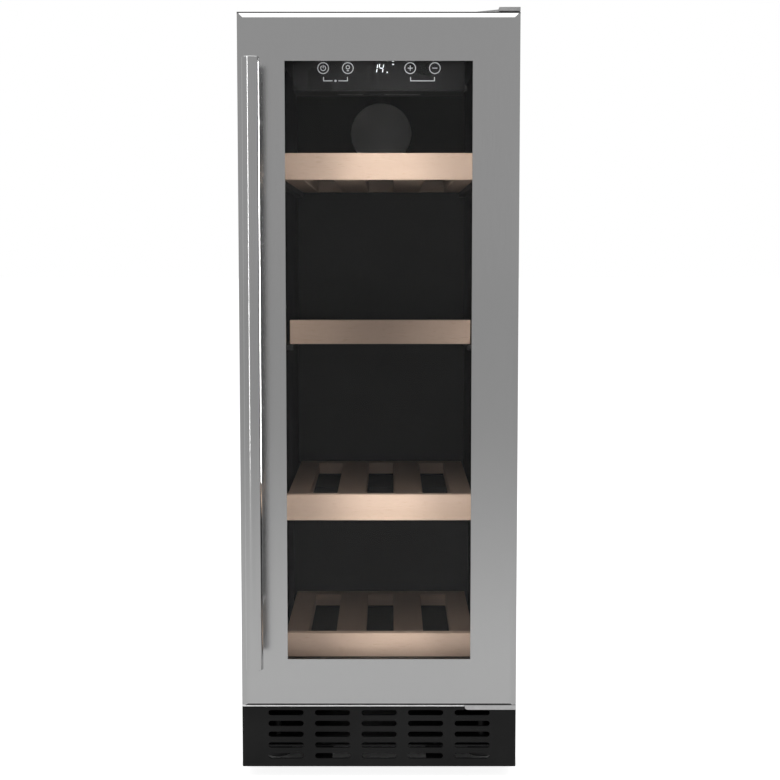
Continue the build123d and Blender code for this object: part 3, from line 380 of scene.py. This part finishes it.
def tintedPane(name):
    # lamps pass as through a plain tinted sheet, so the shelves behind the pane are lit
    material, tree, shader = newMaterial(name)
    shader.inputs["Base Color"].default_value = (*glass["tint"], 1)
    shader.inputs["Roughness"].default_value = 0.0
    shader.inputs["IOR"].default_value = glass["index"]
    shader.inputs["Transmission Weight"].default_value = 1.0
    clear = addNode(tree, "ShaderNodeBsdfTransparent")
    clear.inputs["Color"].default_value = (*glass["tint"], 1)
    rays = addNode(tree, "ShaderNodeLightPath")
    mix = addNode(tree, "ShaderNodeMixShader")
    tree.links.new(rays.outputs["Is Shadow Ray"], mix.inputs["Fac"])
    tree.links.new(shader.outputs["BSDF"], mix.inputs[1])
    tree.links.new(clear.outputs["BSDF"], mix.inputs[2])
    tree.links.new(mix.outputs["Shader"], tree.nodes["Material Output"].inputs["Surface"])
    return material


beech = {
    "light": (0.80, 0.60, 0.46), "dark": (0.72, 0.52, 0.39), "fleck": (0.60, 0.40, 0.28),
    "alongScale": 2.2, "acrossScale": 42.0, "ringBand": (0.3, 0.72),
    "fleckAlong": 130.0, "fleckAcross": 900.0, "fleckBand": (0.58, 0.72), "fleckAmount": 0.75,
    "roughness": (0.5, 0.62), "relief": 0.12, "bumpDepth": 0.0003, "slatPaintedShade": 0.7,
}


def stretchAlong(axis, along, across):
    scales = [across, across, across]
    scales[axis] = along
    return tuple(scales)


def beechWood(name, axis, shade=1.0):
    # fine straight grain along one axis, with the short dark flecks of beech
    material, tree, shader = newMaterial(name)
    ringVector = mapped(tree, stretchAlong(axis, beech["alongScale"], beech["acrossScale"]))
    rings = noise(tree, ringVector, 1.0, 5.0, 0.6)
    fleckVector = mapped(tree, stretchAlong(axis, beech["fleckAlong"], beech["fleckAcross"]))
    flecks = noise(tree, fleckVector, 1.0, 2.0)
    light, dark, fleck = (shaded(beech[key], shade) for key in ("light", "dark", "fleck"))
    base = mixColour(tree, remap(tree, rings, 0, 1, *beech["ringBand"]), light, dark)
    fleckMask = remap(tree, flecks, 0, beech["fleckAmount"], *beech["fleckBand"])
    tree.links.new(mixColour(tree, fleckMask, base, fleck), shader.inputs["Base Color"])
    tree.links.new(remap(tree, flecks, *beech["roughness"]), shader.inputs["Roughness"])
    tree.links.new(bump(tree, flecks, beech["relief"], beech["bumpDepth"]), shader.inputs["Normal"])
    return material


litPrint = {"cloudScale": 300.0, "coolGlow": (0.86, 0.92, 1.0), "coolBase": (0.94, 0.97, 1.0)}


def litMarks(name, shade, strength):
    material, tree, shader = newMaterial(name)
    glow = noise(tree, mapped(tree), litPrint["cloudScale"], 1.0)
    white = (1.0, 1.0, 1.0)
    base = mixColour(tree, glow, shaded(litPrint["coolBase"], shade), shaded(white, shade))
    tree.links.new(base, shader.inputs["Base Color"])
    tree.links.new(mixColour(tree, glow, litPrint["coolGlow"], white), shader.inputs["Emission Color"])
    shader.inputs["Emission Strength"].default_value = strength
    return material


trim = {
    "colour": (0.8, 0.8, 0.8), "darker": 0.93, "flakeScale": 2400.0, "roughness": (0.35, 0.5),
    "relief": 0.05, "bumpDepth": 0.0001,
}


def satinMetalPaint(name):
    material, tree, shader = newMaterial(name)
    flakes = noise(tree, mapped(tree), trim["flakeScale"], 2.0)
    tint = mixColour(tree, remap(tree, flakes, 0, 1, *narrowBand), shaded(trim["colour"], trim["darker"]),
                     trim["colour"])
    tree.links.new(tint, shader.inputs["Base Color"])
    tree.links.new(remap(tree, flakes, *trim["roughness"]), shader.inputs["Roughness"])
    tree.links.new(bump(tree, flakes, trim["relief"], trim["bumpDepth"]), shader.inputs["Normal"])
    return material


# finish of each slot of the record: name, colour, roughness and what differs from the usual
plastics = {
    "black_plastic": ("doorPlastic", (0.012, 0.012, 0.012), 0.5, {}),
    "bush_nylon": ("bushNylon", (0.72, 0.71, 0.66), 0.4, {"relief": 0.03}),
    "plinth_black": ("plinthPlastic", (0.006, 0.006, 0.006), 0.6, {"dust": 0.1, "gloss": 0.2}),
    "liner_black": ("linerPlastic", (0.022, 0.022, 0.022), 0.55, {"relief": 0.06, "dust": 0.05}),
    "filter_grey": ("filterPlastic", (0.55, 0.55, 0.54), 0.5, {"relief": 0.06, "dust": 0.05}),
    "fan_black": ("fanPlastic", (0.02, 0.02, 0.02), 0.4, {"relief": 0.05}),
    "probe_grey": ("probePlastic", (0.08, 0.08, 0.08), 0.35, {"relief": 0.03}),
    "tray_grey": ("trayPlastic", (0.28, 0.28, 0.29), 0.45, {}),
    "inlet_black": ("inletPlastic", (0.015, 0.015, 0.015), 0.3, {"relief": 0.04}),
    "fascia_black": (
        "fasciaPlastic", (0.016, 0.016, 0.016), 0.3, {"relief": 0.0, "dust": 0.04, "gloss": 0.2}),
    "board_green": ("circuitBoard", (0.02, 0.10, 0.04), 0.35, {"relief": 0.04}),
    "light_grey": ("lampLens", (0.12, 0.12, 0.12), 0.3, {"relief": 0.02}),
    "foot_black": ("footPlastic", (0.02, 0.02, 0.02), 0.5, {}),
}
platedParts = {
    "hinge_steel": ("hingeZinc", (0.66, 0.66, 0.66), 0.34),
    "zinc_steel": ("screwZinc", (0.55, 0.55, 0.56), 0.32),
    "spacer_metal": ("darkSpacer", (0.05, 0.05, 0.05), 0.4),
    "coil_aluminium": ("coilAluminium", (0.20, 0.20, 0.21), 0.45),
    "copper_pipe": ("copperPipe", (0.72, 0.36, 0.22), 0.28),
}
coatedParts = {
    "cabinet_black": ("cabinetPaint", (0.014, 0.014, 0.015), 0.42),
    "compressor_black": ("compressorEnamel", (0.012, 0.012, 0.013), 0.22),
}
brushedParts = {"stainless": ("doorStainless", 0.17, 0.015), "handle_steel": ("handleStainless", 0.13, 0.02)}
# the key print's faint glow is painted light that brightens it behind the pane
litParts = {"key_white": ("keyPrint", 0.4, 0.3), "display_white": ("displayLight", 0.8, 0.9)}

materials = {
    "tinted_glass": tintedPane("smokedGlass"),
    "seal_rubber": softRubber("sealRubber"),
    "mount_rubber": softRubber("mountRubber"),
    "galvanised_steel": galvanisedSheet("galvanisedSheet"),
    "foam": closedCellFoam("insulationFoam"),
}
for slot, (name, colour, roughness, others) in plastics.items():
    materials[slot] = mouldedPlastic(name, colour, roughness, **others)
for maker, parts in ((platedMetal, platedParts), (powderCoat, coatedParts), (brushedMetal, brushedParts),
                     (litMarks, litParts)):
    for slot, values in parts.items():
        materials[slot] = maker(*values)
beechAcross = beechWood("beechAcross", 0)
# the slats use the same beech made darker: painted shade standing in for the dim light deep inside the
# cabinet
beechSlatsPaintedShade = beechWood("beechSlatsPaintedShade", 1, beech["slatPaintedShade"])
# these two differ from the rest of their slot: the trim takes a satin paint, and the galvanised base plate
# takes the black cabinet paint as painted shade, so it reads dark behind the plinth grille
ownFinishAndPaintedShade = {"plinth_trim": satinMetalPaint("trimPaint"), "base_plate": materials["cabinet_black"]}
print("materials made")


def paint(obj, material):
    if not obj.data.materials:
        obj.data.materials.append(material)
    for index in range(len(obj.data.materials)):
        obj.data.materials[index] = material


slotOf = {part["node"]: part["material_slot"] for part in frame["record"]["subparts"]}
for name, obj in nodes.items():
    slot = slotOf[name]
    if name in ownFinishAndPaintedShade:
        paint(obj, ownFinishAndPaintedShade[name])
    elif slot == "beech":
        # rails get the plain beech, slats the darker copy that carries painted shade
        paint(obj, beechAcross if name.endswith("_rail") else beechSlatsPaintedShade)
    else:
        paint(obj, materials[slot])
print("pieces painted")

slatEdges = {"width": 0.0012, "segments": 2, "sharperThan": 40, "weld": 0.00002}


def softenSlatEdges(obj):
    weld = obj.modifiers.new("weld", "WELD")
    weld.merge_threshold = slatEdges["weld"]
    bevel = obj.modifiers.new("bevel", "BEVEL")
    bevel.width = slatEdges["width"]
    bevel.segments = slatEdges["segments"]
    bevel.limit_method = "ANGLE"
    bevel.angle_limit = math.radians(slatEdges["sharperThan"])


for level in ("top", "middle", "lower", "bottom"):
    softenSlatEdges(nodes[level + "_shelf_slats"])
print("slat edges softened")

studio = {
    "floorShade": 0.55, "floorRoughness": 0.9, "floorGloss": 0.1, "floorSize": 30,
    "floorGlow": 0.85, "floorLift": 0.16, "ambient": 0.48,
}
# the floor does not glow under the cabinet: the patch starts a little behind the plinth's face
unlitPatch = {"behindPlinth": 0.045, "beforeBack": 0.01, "fade": 0.006}


def showOnlyToCamera(tree, seen, otherwise):
    rays = addNode(tree, "ShaderNodeLightPath")
    mix = addNode(tree, "ShaderNodeMixShader")
    tree.links.new(rays.outputs["Is Camera Ray"], mix.inputs["Fac"])
    tree.links.new(otherwise, mix.inputs[1])
    tree.links.new(seen, mix.inputs[2])
    return mix.outputs[0]


def outsideCabinet(tree):
    coordinates = addNode(tree, "ShaderNodeTexCoord")
    split = addNode(tree, "ShaderNodeSeparateXYZ")
    tree.links.new(coordinates.outputs["Object"], split.inputs[0])
    sideways = addNode(tree, "ShaderNodeMath", operation="ABSOLUTE")
    tree.links.new(split.outputs["X"], sideways.inputs[0])
    back = high("back_panel").y - unlitPatch["beforeBack"]
    front = low("plinth_grille").y + unlitPatch["behindPlinth"]
    edges = (
        (sideways.outputs[0], high("outer_wrapper").x, unlitPatch["fade"]),
        (split.outputs["Y"], back, unlitPatch["fade"]),
        (split.outputs["Y"], front, -unlitPatch["fade"]),
    )
    masks = [remap(tree, value, 0, 1, edge, edge + ramp) for value, edge, ramp in edges]
    return combine(tree, "MAXIMUM", combine(tree, "MAXIMUM", masks[0], masks[1]), masks[2])


def makeFloor():
    mesh = bpy.data.meshes.new("studioFloor")
    sheet = bmesh.new()
    bmesh.ops.create_grid(sheet, x_segments=1, y_segments=1, size=studio["floorSize"])
    sheet.to_mesh(mesh)
    sheet.free()
    floor = bpy.data.objects.new("studioFloor", mesh)
    scene.collection.objects.link(floor)
    material, tree, shader = newMaterial("studioFloor")
    shade = studio["floorShade"]
    shader.inputs["Base Color"].default_value = (shade, shade, shade, 1)
    shader.inputs["Roughness"].default_value = studio["floorRoughness"]
    shader.inputs["Specular IOR Level"].default_value = studio["floorGloss"]
    mask = outsideCabinet(tree)
    surfaces = []
    for amount in (studio["floorGlow"], studio["floorLift"]):
        glow = addNode(tree, "ShaderNodeEmission")
        tree.links.new(remap(tree, mask, 0, amount), glow.inputs["Strength"])
        both = addNode(tree, "ShaderNodeAddShader")
        tree.links.new(shader.outputs[0], both.inputs[0])
        tree.links.new(glow.outputs[0], both.inputs[1])
        surfaces.append(both.outputs[0])
    surface = showOnlyToCamera(tree, *surfaces)
    tree.links.new(surface, tree.nodes["Material Output"].inputs["Surface"])
    mesh.materials.append(material)


def makeWorld():
    world = bpy.data.worlds.new("studioWorld")
    scene.world = world
    world.use_nodes = True
    tree = world.node_tree
    seen = tree.nodes["Background"]
    seen.inputs["Color"].default_value = (1, 1, 1, 1)
    seen.inputs["Strength"].default_value = 1.0
    around = addNode(tree, "ShaderNodeBackground")
    around.inputs["Color"].default_value = (1, 1, 1, 1)
    around.inputs["Strength"].default_value = studio["ambient"]
    surface = showOnlyToCamera(tree, seen.outputs[0], around.outputs[0])
    tree.links.new(surface, tree.nodes["World Output"].inputs["Surface"])


def softBox(name, place, target, size, power):
    data = bpy.data.lights.new(name, "AREA")
    data.shape = "RECTANGLE"
    data.size, data.size_y = size
    data.energy = power
    lamp = bpy.data.objects.new(name, data)
    lamp.location = place
    lamp.rotation_euler = (Vector(target) - Vector(place)).to_track_quat("-Z", "Y").to_euler()
    scene.collection.objects.link(lamp)
    return lamp


strip = {"turn": -39, "distance": 2.6, "width": 0.1, "height": 1.3, "lift": 0.02, "power": 3.6}


def makeLeftStrip():
    # a tall narrow lamp that stands on the floor; the handle mirrors it as one fine line
    turn = math.radians(strip["turn"])
    reach = strip["distance"]
    level = strip["height"] / 2 + strip["lift"]
    place = (reach * math.sin(turn), doorFront - reach * math.cos(turn), level)
    softBox("leftStrip", place, (0, doorFront, level), (strip["width"], strip["height"]), strip["power"])


glint = {
    "right": 0.043, "behind": 0.025, "aim": (-0.69, -0.72), "width": 0.012, "length": 0.44,
    "spread": 32, "power": 0.011,
}


def makeHandleGlint():
    # a narrow lamp close beside the handle that only its polished right flank mirrors
    bar = (low("handle_tube") + high("handle_tube")) / 2
    top = high("handle_tube").z
    place = (bar.x + glint["right"], bar.y + glint["behind"], top - glint["length"] / 2)
    aim = (place[0] + glint["aim"][0], place[1] + glint["aim"][1], place[2])
    lamp = softBox("handleGlint", place, aim, (glint["width"], glint["length"]), glint["power"])
    lamp.data.spread = math.radians(glint["spread"])
    lamp.visible_diffuse = False
    lamp.visible_transmission = False
    lamp.visible_camera = False


frontPair = {
    "side": 1.45, "place": (-2.15, 0.45), "target": (0, -0.2, 0.6), "size": (0.9, 0.6),
    "spread": 50, "power": 1.9,
}


def makeFrontPair():
    # they light the shelves through the panes and leave no spot on the metal
    for name, side in (("softLeft", -1), ("softRight", 1)):
        place = (side * frontPair["side"], *frontPair["place"])
        lamp = softBox(name, place, frontPair["target"], frontPair["size"], frontPair["power"])
        lamp.visible_glossy = False
        lamp.data.spread = math.radians(frontPair["spread"])


overhead = {"place": (0, -0.25, 1.9), "target": (0, -0.25, 0), "size": (2.4, 1.8), "power": 26.0}

makeFloor()
makeWorld()
makeLeftStrip()
makeHandleGlint()
makeFrontPair()
softBox("overhead", **overhead)
print("studio made")
